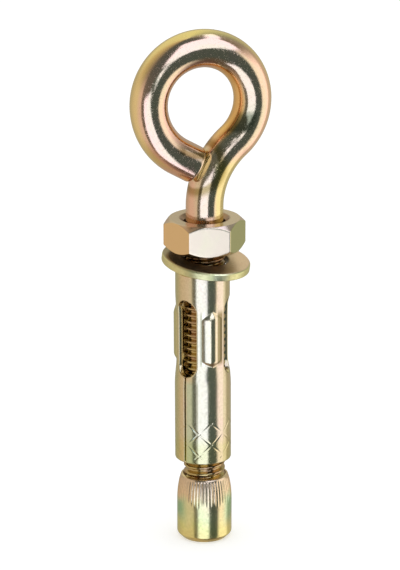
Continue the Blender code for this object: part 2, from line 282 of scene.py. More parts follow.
def eye_path():
    """Centreline above the thread, as (along, height) in the plane of the eye."""
    eye_centre = np.array([-EYE_OFFSET, NUT_TOP + EYE_ABOVE_NUT])
    reach = EYE_RADIUS + NECK_BEND_RADIUS
    entry = math.acos((NECK_BEND_RADIUS + EYE_OFFSET) / reach)
    bend_start = eye_centre[1] - reach * math.sin(entry)
    bend_centre = (NECK_BEND_RADIUS, bend_start)
    shift = EYE_RADIUS - TAIL_RADIUS
    tail_centre = eye_centre + shift * np.array([math.cos(TAIL_START), math.sin(TAIL_START)])
    heading = np.array([-math.sin(TAIL_END), math.cos(TAIL_END)])

    path = [np.array([[0.0, bend_start]])]
    path.append(arc(bend_centre, NECK_BEND_RADIUS, math.pi, math.pi - entry))
    path.append(arc(eye_centre, EYE_RADIUS, -entry, TAIL_START))
    path.append(arc(tail_centre, TAIL_RADIUS, TAIL_START, TAIL_END))
    straight = TAIL_STRAIGHT - TIP_ROUNDING
    runs = np.linspace(0.0, straight, math.ceil(straight / ROD_STEP) + 1)[1:]
    path.append(path[-1][-1] + runs[:, None] * heading)
    return np.concatenate(path)


def lean_outward(path, along, across):
    """The centreline in space. Its last stretch leaves the eye's plane, a little more towards the tip."""
    points = path[:, :1] * along + path[:, 1:] * np.array(UP)
    steps = np.linalg.norm(np.diff(path, axis=0), axis=1)
    to_tip = TIP_ROUNDING + np.append(np.cumsum(steps[::-1])[::-1], 0.0)
    share = smooth(1 - to_tip / TAIL_LEAN_LENGTH)
    return points + TAIL_LEAN * share[:, None] * across


def thread_radius(heights, azimuths):
    """Radius of the right-hand thread. It starts at a chamfer and runs out into the plain rod."""
    top = NUT_TOP - THREAD_INTO_COUNTERSINK
    phase = heights / THREAD_PITCH - azimuths / (2 * math.pi)
    from_crest = np.abs(2 * (phase - np.floor(phase)) - 1)
    flank = smooth((from_crest - THREAD_CREST_SHARE) / (THREAD_ROOT_SHARE - THREAD_CREST_SHARE))
    thread = THREAD_CREST - (THREAD_CREST - THREAD_ROOT) * flank
    runout = smooth((top - heights) / THREAD_PITCH)
    radius = ROD_RADIUS + (thread - ROD_RADIUS) * runout
    chamfer = THREAD_CREST - ROD_END_CHAMFER + heights
    return np.minimum(radius, chamfer)


def make_eye_bolt():
    azimuths = even_azimuths(ROD_SIDES)
    top = NUT_TOP - THREAD_INTO_COUNTERSINK
    count = round(top / THREAD_PITCH * THREAD_RINGS_A_TURN)
    heights = (top * np.arange(count + 1) / count)[:, None]
    radius = thread_radius(heights, azimuths[None, :] + EYE_TURN)

    along = np.array([math.cos(EYE_TURN), math.sin(EYE_TURN), 0.0])
    across = np.cross(along, UP)
    side = along * np.cos(azimuths)[:, None] - across * np.sin(azimuths)[:, None]
    shank = radius[..., None] * side
    shank[..., 2] += heights

    path = lean_outward(eye_path(), along, across)
    tangents = np.gradient(path, axis=0)
    bent = [rod_ring(point, tangent, ROD_RADIUS, across, azimuths) for point, tangent in zip(path, tangents)]
    heading = tangents[-1] / np.linalg.norm(tangents[-1])
    for i in range(1, TIP_STEPS + 1):
        angle = 0.5 * math.pi * i / TIP_STEPS
        inset = TIP_ROUNDING * (1 - math.cos(angle))
        reach = TIP_ROUNDING * math.sin(angle)
        bent.append(rod_ring(path[-1] + heading * reach, heading, ROD_RADIUS - inset, across, azimuths))
    end = path[-1] + heading * TIP_ROUNDING
    for share in CUT_FACE_RINGS:
        bent.append(rod_ring(end, heading, share * ROD_RADIUS, across, azimuths))
    mesh = skin("threaded_eye_bolt", np.concatenate([shank, np.array(bent)]), hollow=False)
    add_piece("threaded_eye_bolt", mesh, bolt_plating(end, heading), "eye_bolt", "bolt")


def rod_ring(point, tangent, radius, across, azimuths):
    """A round section square to the path."""
    side = np.cross(tangent, across)
    side = side / np.linalg.norm(side)
    front = np.cross(side, tangent / np.linalg.norm(tangent))
    return point + radius * (side * np.cos(azimuths)[:, None] - front * np.sin(azimuths)[:, None])


# Cone nut


def cone_radius(heights):
    """A straight base that rounds over into the rim."""
    share = np.clip((heights - (CONE_HEIGHT - CONE_NOSE_HEIGHT)) / CONE_NOSE_HEIGHT, 0.0, 1.0)
    return CONE_RADIUS - (CONE_RADIUS - CONE_RIM_RADIUS) * share**CONE_NOSE_POWER


def make_cone_nut():
    azimuths = even_azimuths(FLUTE_COUNT * FLUTE_SIDES)
    nose_start = CONE_HEIGHT - CONE_NOSE_HEIGHT
    bore_base = (BORE_RADIUS, 0.0)
    base = (CONE_RADIUS - CONE_BASE_ROUNDING, 0.0)
    side = (CONE_RADIUS, CONE_BASE_ROUNDING)
    profile = [
        (BORE_RADIUS, CONE_HEIGHT - CONE_BORE_BELOW_RIM),
        (BORE_RADIUS, CONE_BORE_CHAMFER),
        (BORE_RADIUS + CONE_BORE_CHAMFER, 0.0),
    ]
    profile += rounded_corner(base, bore_base, side, CONE_BASE_CORNER)
    profile += rounded_corner(side, base, (CONE_RADIUS, nose_start), CONE_SIDE_CORNER)
    plain = turned_rings(profile, azimuths)

    heights = np.linspace(nose_start - CONE_NOSE_OVERLAP, CONE_HEIGHT, CONE_NOSE_ROWS)[:, None]
    share = (heights - nose_start) / CONE_NOSE_HEIGHT
    fade = smooth(share * 3.0) * smooth((CONE_HEIGHT - heights) / FLUTES_BELOW_RIM - 1)
    wave = 0.5 - 0.5 * np.cos(FLUTE_COUNT * azimuths)[None, :]
    rim_fall = quarter_round(CONE_HEIGHT - heights, CONE_RIM_ROUNDING)
    radius = cone_radius(heights) - FLUTE_DEPTH * fade * wave**FLUTE_POWER - rim_fall
    nose = round_points(radius, azimuths, heights)
    rim = turned_rings([(BORE_RADIUS + CONE_RIM_RING, CONE_HEIGHT)], azimuths)
    mesh = skin("fluted_cone", np.concatenate([plain, nose, rim]), hollow=True)
    add_piece("fluted_cone", mesh, cone_plating(), "cone_nut", "cone")


# Expansion sleeve

WINDOW_TOP = SLEEVE_LENGTH - WINDOW_BELOW_TOP
WINDOW_BOTTOM = WINDOW_TOP - WINDOW_LENGTH
WAIST_HIGH = WINDOW_TOP - WAIST_BELOW_WINDOW_TOP
WAIST_LOW = WINDOW_BOTTOM + WAIST_ABOVE_WINDOW_BOTTOM
RIB_TOP = WINDOW_TOP - RIB_BELOW_WINDOW_TOP
RIB_BOTTOM = WAIST_LOW - RIB_BELOW_WAIST
STRIP_ANGLE = 2 * math.pi / STRIP_COUNT


def sleeve_radius(heights):
    """Outer radius of the plain wall, above the sleeve's lower end: a waist, and wider above and below it."""
    above = (COLLAR_RADIUS - WAIST_RADIUS) * smooth((heights - WAIST_HIGH) / WAIST_REACH)
    below = (SLEEVE_RADIUS - WAIST_RADIUS) * smooth((WAIST_LOW - heights) / WAIST_REACH)
    return WAIST_RADIUS + above + below


def rib_rise(from_middle, heights):
    """How far a pressed rib stands out, at an azimuth from the middle of its strip."""
    ends = smooth((heights - RIB_BOTTOM) / RIB_LOWER_TAPER) * smooth((RIB_TOP - heights) / RIB_UPPER_TAPER)
    half_width = np.maximum(0.5 * RIB_WIDTH * ends / SLEEVE_RADIUS, 1e-6)
    across = np.clip(np.abs(from_middle - RIB_OFFSET) / half_width, 0.0, 1.0)
    return RIB_HEIGHT * ends * np.cos(0.5 * math.pi * across)


def outline_distance(across, heights):
    """Distance outside a window's outline, from its own centreline and the sleeve's lower end."""
    radius = 0.5 * WINDOW_WIDTH
    middle = 0.5 * (WINDOW_TOP + WINDOW_BOTTOM)
    past = np.maximum(np.abs(heights - middle) - (0.5 * WINDOW_LENGTH - radius), 0.0)
    return np.hypot(across, past) - radius


def groove_fall(azimuths, heights):
    """Depth of the pressed diamond lines."""
    band = (heights + SLEEVE_BOTTOM - DIAMOND_CROSSING) / DIAMOND_HEIGHT
    turn = (azimuths + 0.5 * math.pi - DIAMOND_AZIMUTH) * DIAMOND_COUNT / (2 * math.pi)
    slope = math.hypot(1 / DIAMOND_HEIGHT, DIAMOND_COUNT / (2 * math.pi * SLEEVE_RADIUS))
    nearest = np.full(np.broadcast_shapes(azimuths.shape, heights.shape), 1.0)
    for way in (band + turn, band - turn):
        nearest = np.minimum(nearest, np.abs(way - np.round(way)) / slope)
    level = heights + SLEEVE_BOTTOM
    ends = smooth((level - DIAMOND_BOTTOM) / GROOVE_WIDTH) * smooth((DIAMOND_TOP - level) / GROOVE_WIDTH)
    return GROOVE_DEPTH * ends * smooth(1 - 2 * nearest / GROOVE_WIDTH)


def window_half_angle(index, heights):
    """Half the angle that a window leaves open at a height, or the slit below the first window."""
    radius = 0.5 * WINDOW_WIDTH
    middle = 0.5 * (WINDOW_TOP + WINDOW_BOTTOM)
    past = np.maximum(np.abs(heights - middle) - (0.5 * WINDOW_LENGTH - radius), 0.0)
    half = np.sqrt(np.maximum(radius * radius - past * past, 0.0))
    if index == 0:
        half = np.where(heights < middle, np.maximum(half, 0.5 * SLIT_WIDTH), half)
    return np.arcsin(half / SLEEVE_RADIUS)


def sleeve_heights():
    """Rows of the sleeve's grid, closest over the diamonds and round the ends of the windows."""
    radius = 0.5 * WINDOW_WIDTH
    rows = [
        np.linspace(SLEEVE_EDGE, PATTERN_ROWS[0] * MM, 4),
        np.arange(*PATTERN_ROWS) * MM,
        np.linspace(*BODY_ROWS) * MM,
    ]
    turn = np.radians(np.linspace(0, 90, 13))
    rows.append(WINDOW_BOTTOM + radius * (1 - np.cos(turn)))
    rows.append(WINDOW_TOP - radius * (1 - np.cos(turn)))
    close = np.array(ROWS_PAST_WINDOW) * MM
    rows += [WINDOW_BOTTOM - close, WINDOW_TOP + close]
    rows.append(np.arange(WINDOW_BOTTOM + radius, WINDOW_TOP - radius, 0.4 * MM))
    rows.append(np.linspace(RIB_BOTTOM - 0.4 * MM, RIB_BOTTOM + RIB_LOWER_TAPER, 16))
    rows.append(np.linspace(RIB_TOP - RIB_UPPER_TAPER, RIB_TOP, 22))
    rows.append(np.linspace(WINDOW_TOP, SLEEVE_LENGTH - SLEEVE_EDGE, 14))
    rows = np.sort(np.concatenate(rows))
    keep = np.concatenate([[True], np.diff(rows) > CLOSEST_ROWS])
    return rows[keep]


def strip_columns():
    """Shares of a strip's width, with a few close columns at each side for its rolled edges."""
    edge = np.array(EDGE_COLUMNS)
    inner = np.linspace(*MIDDLE_COLUMNS)
    return np.concatenate([edge, inner, 1 - edge[::-1]])


def make_sleeve():
    """Three strips side by side, joined above and below the windows and open at the slit."""
    heights = sleeve_heights()
    shares = strip_columns()[None, :]
    verts = []
    faces = []
    tall = len(heights)
    wide = shares.shape[1]
    grid = np.arange(tall * wide).reshape(tall, wide)
    for strip in range(STRIP_COUNT):
        left = WINDOW_AZIMUTH - 0.5 * math.pi + STRIP_ANGLE * strip
        open_left = window_half_angle(strip, heights)[:, None]
        open_right = window_half_angle((strip + 1) % STRIP_COUNT, heights)[:, None]
        azimuths = left + open_left + (STRIP_ANGLE - open_left - open_right) * shares
        rows = heights[:, None]
        middle = left + 0.5 * STRIP_ANGLE
        wall = sleeve_radius(rows) + rib_rise(azimuths - middle, rows)
        outer = wall - groove_fall(azimuths, rows)
        for side, index in ((left, strip), (left + STRIP_ANGLE, (strip + 1) % STRIP_COUNT)):
            across = SLEEVE_RADIUS * np.sin(azimuths - side)
            outer = outer - quarter_round(np.maximum(outline_distance(across, rows), 0.0), WINDOW_ROLL)
            if index == 0:
                from_slit = np.abs(across) - 0.5 * SLIT_WIDTH
                lip = quarter_round(np.maximum(from_slit, 0.0), SLIT_ROLL)
                outer = outer - np.where(rows < WINDOW_BOTTOM, lip, 0.0)
        inner = wall - SLEEVE_WALL
        base = len(verts)
        sheets = [round_points(radius, azimuths, rows + SLEEVE_BOTTOM) for radius in (outer, inner)]
        edges = sleeve_edges(sheets, azimuths)
        for sheet in sheets + edges:
            verts.extend(sheet.reshape(-1, 3).tolist())
        faces.extend(strip_faces(base, grid, len(edges) // 2))
    points = np.array(verts)
    share = (points[:, 2] - SLEEVE_BOTTOM) / SLEEVE_LENGTH
    points[:, 0] += SLEEVE_SHIFT_BELOW + (SLEEVE_SHIFT_ABOVE - SLEEVE_SHIFT_BELOW) * share
    mesh = bpy.data.meshes.new("pressed_sleeve")
    mesh.from_pydata(points.tolist(), [], faces)
    weld(mesh)
    add_piece("pressed_sleeve", mesh, sleeve_plating(), "expansion_sleeve", "sleeve")


def sleeve_edges(sheets, azimuths):
    """Rows that round the wall over at the sleeve's two ends: first the lower end's, then the upper end's."""
    edges = []
    for row, height in ((0, SLEEVE_BOTTOM), (-1, SLEEVE_TOP)):
        angle = azimuths[row]
        outer, inner = (np.hypot(sheet[row][:, 0], sheet[row][:, 1]) for sheet in sheets)
        toward = 1.0 if row else -1.0
        for step in (0.35, 0.7, 1.0):
            turn = 0.5 * math.pi * step
            radius = outer - SLEEVE_EDGE * (1 - math.cos(turn))
            level = height - toward * SLEEVE_EDGE * (1 - math.sin(turn))
            edges.append(round_points(radius, angle, level))
        edges.append(round_points(inner, angle, height))
    return edges


def strip_faces(base, grid, edge_rows):
    """Faces of one strip: its outer and inner sheets, its two ends and its two cut sides."""
    tall, wide = grid.shape
    size = tall * wide
    outer = base + grid
    inner = base + size + grid
    first = base + 2 * size
    lower = [first + i * wide + np.arange(wide) for i in range(edge_rows)]
    upper = [first + (edge_rows + i) * wide + np.arange(wide) for i in range(edge_rows)]
    around = list(outer) + upper + list(inner[::-1]) + lower[::-1]
    faces = []
    for low, high in zip(around, around[1:] + around[:1]):
        for i in range(wide - 1):
            faces.append((low[i], low[i + 1], high[i + 1], high[i]))
    for column in (0, wide - 1):
        for i in range(tall - 1):
            side = (outer[i][column], outer[i + 1][column], inner[i + 1][column], inner[i][column])
            faces.append(side if column == 0 else side[::-1])
        for end, row in ((lower, 0), (upper, tall - 1)):
            loop = [outer[row][column]] + [edge[column] for edge in end] + [inner[row][column]]
            faces.append(tuple(loop[::-1]) if (column == 0) == (row == 0) else tuple(loop))
    return [tuple(int(i) for i in face) for face in faces]


def weld(mesh):
    """Joins strips where their sides meet, and drops the walls that then lie inside the sheet."""
    body = bmesh.new()
    body.from_mesh(mesh)
    bmesh.ops.remove_doubles(body, verts=body.verts, dist=WELD_DISTANCE)
    inside = [face for face in body.faces if sum(len(edge.link_faces) > 2 for edge in face.edges) > 1]
    bmesh.ops.delete(body, geom=inside, context="FACES")
    bmesh.ops.recalc_face_normals(body, faces=body.faces)
    body.to_mesh(mesh)
    body.free()


# Washer


def make_washer():
    half = 0.5 * WASHER_THICKNESS
    corners = [
        (WASHER_HOLE_RADIUS, -half),
        (WASHER_RADIUS, -half),
        (WASHER_RADIUS, half),
        (WASHER_HOLE_RADIUS, half),
    ]
    profile = []
    for i, corner in enumerate(corners):
        profile += rounded_corner(corner, corners[i - 1], corners[(i + 1) % 4], WASHER_ROUNDINGS[i])
    rings = turned_rings(profile, even_azimuths(WASHER_SIDES))
    low_side = Vector((math.sin(WASHER_LOW_SIDE), -math.cos(WASHER_LOW_SIDE), 0.0))
    hole = np.array(profile)[:, 0] < 0.5 * (WASHER_HOLE_RADIUS + WASHER_RADIUS)
    rings[hole] += np.array(low_side) * (WASHER_HOLE_SLIDE - WASHER_SLIDE)
    tilt = Matrix.Rotation(WASHER_TILT, 3, UP.cross(low_side))
    low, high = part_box("washer")
    centre = Vector((low_side.x * WASHER_SLIDE, low_side.y * WASHER_SLIDE, 0.5 * (low[2] + high[2])))
    rings = rings @ np.array(tilt).T + np.array(centre)
    mesh = skin("pressed_washer", rings, hollow=True)
    add_piece("pressed_washer", mesh, washer_plating(), "washer", "washer")


# Hex nut


def hexagon_radius(azimuths):
    """Distance to the flats, with the six upright edges a little rounded."""
    apothem = 0.5 * NUT_ACROSS_FLATS
    from_flat = azimuths % (math.pi / 3) - math.pi / 6
    sharp = apothem / np.cos(from_flat)
    corner = apothem / math.cos(math.pi / 6)
    centre = corner - NUT_CORNER_ROUNDING / math.cos(math.pi / 6)
    from_corner = math.pi / 6 - np.abs(from_flat)
    reach = np.maximum(NUT_CORNER_ROUNDING**2 - (centre * np.sin(from_corner)) ** 2, 0.0)
    rounded = centre * np.cos(from_corner) + np.sqrt(reach)
    limit = math.asin(min(1.0, NUT_CORNER_ROUNDING * 0.5 / centre))
    return np.where(from_corner < limit, np.minimum(sharp, rounded), sharp)


def nut_azimuths():
    """Even steps, with closer ones at the upright edges."""
    close = np.array(NUT_CORNER_STEPS)
    close = np.concatenate([-close[:0:-1], close])
    sector = np.radians(np.concatenate([close, np.linspace(*NUT_FLAT_STEPS)]))
    return np.concatenate([math.pi / 3 * i + sector for i in range(6)])


def make_nut():
    azimuths = nut_azimuths()
    flat = hexagon_radius(azimuths)
    chamfer = 0.5 * NUT_ACROSS_FLATS - NUT_CHAMFER_INSET
    slope = math.tan(NUT_CHAMFER_ANGLE)
    rise = (flat - chamfer) * slope
    soft = 0.5 * NUT_EDGE_ROUNDING
    half_bend = 0.5 * math.pi - NUT_CHAMFER_ANGLE
    inset = np.minimum(soft, 0.4 * (flat - chamfer))

    lower = [
        (BORE_RADIUS, NUT_COUNTERSINK),
        (BORE_RADIUS + NUT_COUNTERSINK, 0.0),
        (chamfer - 2.0 * soft, 0.0),
        (chamfer - 0.8 * soft, 0.0),
        (chamfer, 0.15 * soft),
        (chamfer + soft, soft * slope),
        (flat - 1.6 * inset, rise - 1.6 * inset * slope),
        (flat - 0.6 * inset, rise - 0.45 * inset),
        (flat - 0.12 * inset, rise + 0.35 * inset),
        (flat, rise + 1.4 * inset * math.sin(half_bend)),
        (flat, rise + 0.35 * MM),
    ]
    rings = lower + [(radius, NUT_HEIGHT - height) for radius, height in reversed(lower)]
    points = [round_points(radius, azimuths + NUT_TURN, NUT_BOTTOM + height) for radius, height in rings]
    mesh = skin("chamfered_nut", points, hollow=True)
    add_piece("chamfered_nut", mesh, nut_plating(), "hex_nut", "nut")


# Materials


class Nodes:
    """Short calls for building one node tree."""

    def __init__(self, tree):
        self.tree = tree

    def add(self, kind, inputs=(), **settings):
        node = self.tree.nodes.new(kind)
        for name, value in settings.items():
            setattr(node, name, value)
        for name, value in dict(inputs).items():
            self.put(node.inputs[name], value)
        return node

    def put(self, socket, value):
        if hasattr(value, "is_output"):
            self.tree.links.new(value, socket)
        else:
            socket.default_value = value

    def math(self, operation, a, b=0.0):
        node = self.add("ShaderNodeMath", operation=operation)
        self.put(node.inputs[0], a)
        self.put(node.inputs[1], b)
        return node.outputs[0]

    def product(self, factors):
        result = factors[0]
        for factor in factors[1:]:
            result = self.math("MULTIPLY", result, factor)
        return result

    def mix(self, factor, a, b, blend="MIX"):
        node = self.add("ShaderNodeMix", data_type="RGBA", blend_type=blend)
        self.put(node.inputs["Factor"], factor)
        self.put(node.inputs["A"], a if hasattr(a, "is_output") else (*a, 1.0))
        self.put(node.inputs["B"], b if hasattr(b, "is_output") else (*b, 1.0))
        return node.outputs["Result"]

    def ease(self, value, low, high, to_low=0.0, to_high=1.0):
        node = self.add("ShaderNodeMapRange", interpolation_type="SMOOTHSTEP")
        for name, number in (
            ("Value", value),
            ("From Min", low),
            ("From Max", high),
            ("To Min", to_low),
            ("To Max", to_high),
        ):
            self.put(node.inputs[name], number)
        return node.outputs["Result"]

    def fade(self, distance, zone):
        """Eases from 0 to 1 between two distances in millimetres."""
        start, full = zone
        return self.ease(distance, start * MM, full * MM)

    def inside(self, measures, zones):
        """1 where every named measure is past its zone."""
        return self.product([self.fade(measures[name], zone) for name, zone in zones])

    def parts(self, vector):
        return self.add("ShaderNodeSeparateXYZ", {"Vector": vector}).outputs

    def length(self, vector):
        return self.add("ShaderNodeVectorMath", {0: vector}, operation="LENGTH").outputs["Value"]

    def from_axis(self, place):
        return self.length(self.stretched(place, (1.0, 1.0, 0.0)))

    def upward(self):
        """How far the surface faces up, from -1 to 1."""
        return self.parts(self.add("ShaderNodeTexCoord").outputs["Normal"])["Z"]

    def noise(self, vector, scale, detail=2.0, roughness=0.5, distortion=0.0):
        inputs = {"Vector": vector, "Scale": scale, "Detail": detail, "Roughness": roughness}
        node = self.add("ShaderNodeTexNoise", {**inputs, "Distortion": distortion})
        return node.outputs["Fac"]

    def stretched(self, vector, scale):
        node = self.add("ShaderNodeVectorMath", operation="MULTIPLY")
        self.put(node.inputs[0], vector)
        self.put(node.inputs[1], scale)
        return node.outputs[0]

    def ramp(self, factor, stops):
        node = self.add("ShaderNodeValToRGB")
        elements = node.color_ramp.elements
        elements[0].position, elements[0].color = stops[0][0], (*stops[0][1], 1.0)
        elements[1].position, elements[1].color = stops[-1][0], (*stops[-1][1], 1.0)
        for position, colour in stops[1:-1]:
            elements.new(position).color = (*colour, 1.0)
        self.put(node.inputs["Fac"], factor)
        return node.outputs["Color"]

    def colour_surface(self, colour):
        self.put(self.tree.nodes["Principled BSDF"].inputs["Base Color"], colour)


# Zinc plating. The scales of its noises are per millimetre, and a range says where a noise takes effect.
PATCH_SCALE = 0.16
PATCH_STOPS = (0.30, 0.5, 0.70)
MOTTLE_SCALE = 2.2
MOTTLE_RANGE = (0.35, 0.75)
MOTTLE = (0.62, 0.60, 0.48)
ROUGHNESS_RANGE = (0.3, 0.7)
SPECK_SCALE = 4.0
SPECK_RANGE = (0.52, 0.70)
GRAIN_SCALE = 5.5
RIPPLE_SCALE = 0.55

# Tints of the pieces
ROD_TINTS = ((0.84, 0.64, 0.45), (0.82, 0.66, 0.43), (0.76, 0.66, 0.42))
ROD_OUTSIDE = (0.88, 0.71, 0.34)
ROD_SHOULDER = (0.90, 0.62, 0.43)
# Painted reflection: the eye's inside mirrors the ring's opposite side, coppery, more orange on the right
ROD_INSIDE_REFLECTION = (0.76, 0.50, 0.37)
ROD_INSIDE_RIGHT_REFLECTION = (0.86, 0.54, 0.20)
# Painted shade on the tail's upper side near the tip
TAIL_SHADE = (0.44, 0.36, 0.22)
NECK_LEFT = (0.86, 0.57, 0.40)
NECK_RIGHT = (0.80, 0.68, 0.30)
# Painted shade on the neck beside the cut tip, and over a streak high on the neck
NECK_SHADE_BEHIND_TIP = (0.56, 0.52, 0.34)
NECK_TOP_SHADE = (0.38, 0.44, 0.40)
CUT_END = (0.72, 0.62, 0.40)
THREAD_GOLD = (0.54, 0.42, 0.17)
THREAD_RED = (0.46, 0.31, 0.16)
# Painted shade on the thread between the sleeve and the nut
THREAD_SHADE_UNDER_NUT = (0.55, 0.50, 0.48)
# The nut's tints are painted light and shade by face: a pale front, an orange reflection on the left, olive
# shade on the right, and a top darker on the left
NUT_TINTS = ((0.90, 0.76, 0.51), (0.90, 0.77, 0.52), (0.90, 0.80, 0.51))
NUT_LEFT_REFLECTION = (0.84, 0.60, 0.30)
NUT_RIGHT_SHADE = (0.50, 0.53, 0.24)
NUT_TOP_LEFT_SHADE = (0.66, 0.51, 0.39)
NUT_TOP_RIGHT_LIGHT = (0.76, 0.60, 0.46)
# Painted shade in the nut's bore
NUT_BORE_SHADE = (0.42, 0.27, 0.17)
WASHER_TINTS = ((0.80, 0.70, 0.38), (0.76, 0.74, 0.36), (0.68, 0.72, 0.34))
# Painted highlight on the washer's rim
WASHER_GLINT = (1.0, 1.0, 0.58)
# Painted shade on the washer's top round the nut; to its right the top is pinkish
WASHER_TOP_SHADE = (0.34, 0.27, 0.18)
WASHER_RIGHT = (0.88, 0.64, 0.47)
# Painted shade inside the washer's hole
WASHER_HOLE_SHADE = (0.16, 0.13, 0.08)
SLEEVE_TINTS = ((0.82, 0.70, 0.52), (0.80, 0.74, 0.50), (0.76, 0.72, 0.50))
SLEEVE_LOW_END = (0.95, 0.98, 0.78)
CONE_TINTS = ((1.0, 0.92, 0.88), (1.0, 1.0, 0.96), (0.90, 1.0, 0.90))
# Painted green shade at both sides of the cone
CONE_SIDE_SHADE = (0.42, 0.62, 0.38)

# Zones of the rod's tints in millimetres: where each begins, then where it is full
NECK_LEFT_ZONE = (-1.2, -2.2)
NECK_RIGHT_ZONE = (1.4, 2.4)
EYE_ZONE = (-11.5, -9.0)
SHOULDER_ZONE = (10.8, 11.3)
OUTSIDE_ZONE = (12.1, 12.7)
INSIDE_ZONE = (8.4, 7.9)
INSIDE_RIGHT_ZONE = (-1.0, 4.0)
CUT_END_ZONE = (3.1, 2.8)
BEHIND_TIP_ZONES = [("beyond_tip", (0.2, 0.6)), ("to_tip", (6.2, 4.8)), ("to_tip", (3.8, 4.4))]
TAIL_TOP_ZONES = [
    ("beyond_tip", (0.0, -0.4)),
    ("from_centre", (9.7, 9.0)),
    ("from_centre", (8.0, 8.5)),
    ("to_tip", (7.5, 5.5)),
]
NECK_TOP_ZONES = [
    ("height", (75.5, 76.3)),
    ("height", (80.0, 78.5)),
    ("from_centre", (6.45, 6.9)),
    ("from_centre", (10.0, 9.2)),
    ("along", (1.0, 3.0)),
]

# Zones of the other pieces, the same way
NUT_LEFT_ZONE = (-2.6, -2.9)
NUT_RIGHT_ZONE = (4.4, 4.7)
NUT_TOP_ZONE = (0.0, 4.0)
NUT_BORE_ZONE = (4.8, 4.3)
WASHER_RIGHT_ZONE = (2.0, 6.5)
WASHER_GLINT_ZONES = [("across", (1.4, 2.2)), ("across", (4.4, 3.6))]
WASHER_HOLE_ZONE = (4.6, 4.2)
SLEEVE_LOW_ZONE = (21.0, 18.0)
CONE_SIDE_ZONE = (2.8, 4.6)
CONE_BAND_ZONES = [("level", (2.6, 5.8)), ("level", (9.4, 6.8))]

# Other lengths of the tints, and the scales of their noises per metre
INSIDE_NARROWS_TO = 3.0 * MM
INSIDE_NARROWED_BY = 0.85 * MM
THREAD_FADE = 1.0 * MM
THREAD_PATCHES = (300.0, 300.0, 900.0)
WINDOW_FADE = 1.5 * MM
CONE_WANDER = 0.9 * MM
CONE_WANDER_SCALE = (220.0, 220.0, 160.0)

# What the sleeve's tint is multiplied by, at these distances in millimetres to the right of the axis:
# all over, below the windows and on the front rib. These paint light and shade: darker at both sides,
# a lighter band right of the front, a dark band below the windows and the rib's lit and shaded flanks;
# the green beside the slit is a tint.
SLEEVE_LIGHT_AND_SHADE_ACROSS = [
    (-5.2, (0.80, 0.84, 0.62)),
    (-4.2, (0.94, 0.84, 0.72)),
    (-3.0, (1.00, 0.90, 0.86)),
    (-2.0, (1.00, 1.00, 0.92)),
    (-1.2, (1.00, 1.00, 1.00)),
    (0.5, (1.00, 1.00, 1.00)),
    (0.9, (1.18, 1.16, 1.06)),
    (2.0, (1.18, 1.12, 1.04)),
    (2.4, (0.98, 0.92, 1.00)),
    (3.2, (0.98, 0.92, 1.00)),
    (3.45, (0.80, 0.77, 0.70)),
    (5.2, (0.80, 0.80, 0.66)),
]
# A painted dark band below the windows, with a greenish tint beside the slit
SLEEVE_BELOW_TINT_AND_SHADE = [
    (-3.4, (1.00, 1.00, 1.00)),
    (-3.1, (0.84, 1.12, 1.20)),
    (-2.0, (0.84, 1.02, 1.12)),
    (-1.6, (0.70, 0.70, 0.66)),
    (-1.25, (0.55, 0.55, 0.48)),
    (-1.05, (1.00, 1.00, 1.00)),
]
# Painted light and shade on the rib's flanks
SLEEVE_RIB_LIGHT_AND_SHADE = [
    (-0.85, (1.00, 1.00, 1.00)),
    (-0.7, (0.66, 0.68, 0.62)),
    (-0.45, (0.68, 0.70, 0.64)),
    (-0.35, (1.20, 1.24, 1.34)),
    (0.0, (1.20, 1.24, 1.34)),
    (0.1, (1.00, 1.00, 1.00)),
    (2.25, (1.00, 1.00, 1.00)),
    (2.4, (0.42, 0.42, 0.28)),
    (3.1, (0.46, 0.44, 0.30)),
    (3.3, (1.00, 1.00, 1.00)),
]

# The cone's tint, at these heights
CONE_UPWARD = [
    (0.0, (0.84, 0.74, 0.30)),
    (3.0, (0.82, 0.78, 0.33)),
    (5.2, (0.83, 0.78, 0.42)),
    (7.2, (0.83, 0.75, 0.43)),
    (9.0, (0.84, 0.67, 0.43)),
    (12.4, (0.74, 0.57, 0.40)),
]


def plating(name, tints, roughness, grain, ripple, seed=0.0, dull=0.08, uneven=0.22):
    """Zinc plating: patches of its tints, mottled, with dull specks, a fine grain, and a ripple that bends
    what it mirrors. The uneven share says how much it is mottled and how far its roughness varies."""
    material = bpy.data.materials.new(name)
    material.use_nodes = True
    nodes = Nodes(material.node_tree)
    shader = material.node_tree.nodes["Principled BSDF"]
    shader.inputs["Metallic"].default_value = 1.0
    place = nodes.add("ShaderNodeTexCoord").outputs["Object"]
    millimetres = nodes.stretched(place, (1000.0, 1000.0, 1000.0))
    offset = (seed, 2.0 * seed, -seed)
    shifted = nodes.add("ShaderNodeVectorMath", {0: millimetres, 1: offset}, operation="ADD")
    millimetres = shifted.outputs[0]

    patches = nodes.noise(millimetres, PATCH_SCALE, detail=3.0, roughness=0.55, distortion=0.6)
    colour = nodes.ramp(patches, list(zip(PATCH_STOPS, tints)))
    mottle = nodes.noise(millimetres, MOTTLE_SCALE, detail=4.0, roughness=0.6)
    colour = nodes.mix(nodes.ease(mottle, *MOTTLE_RANGE, 0.0, uneven), colour, MOTTLE, "MULTIPLY")

    fine = nodes.noise(millimetres, GRAIN_SCALE, detail=3.0, roughness=0.65)
    broad = nodes.noise(millimetres, RIPPLE_SCALE, detail=2.0)
    rough = nodes.ease(mottle, *ROUGHNESS_RANGE, roughness * (1 - uneven), roughness * (1 + uneven))
    specks = nodes.noise(millimetres, SPECK_SCALE, detail=1.0)
    specks = nodes.ease(specks, *SPECK_RANGE, 0.0, dull)
    nodes.put(shader.inputs["Roughness"], nodes.math("ADD", rough, specks))
    grain_bump = nodes.add("ShaderNodeBump", {"Height": fine, "Distance": grain, "Strength": 1.0})
    ripple_bump = nodes.add("ShaderNodeBump", {"Height": broad, "Distance": ripple, "Strength": 1.0})
    nodes.put(ripple_bump.inputs["Normal"], grain_bump.outputs["Normal"])
    nodes.put(shader.inputs["Normal"], ripple_bump.outputs["Normal"])
    return material, nodes, place, colour


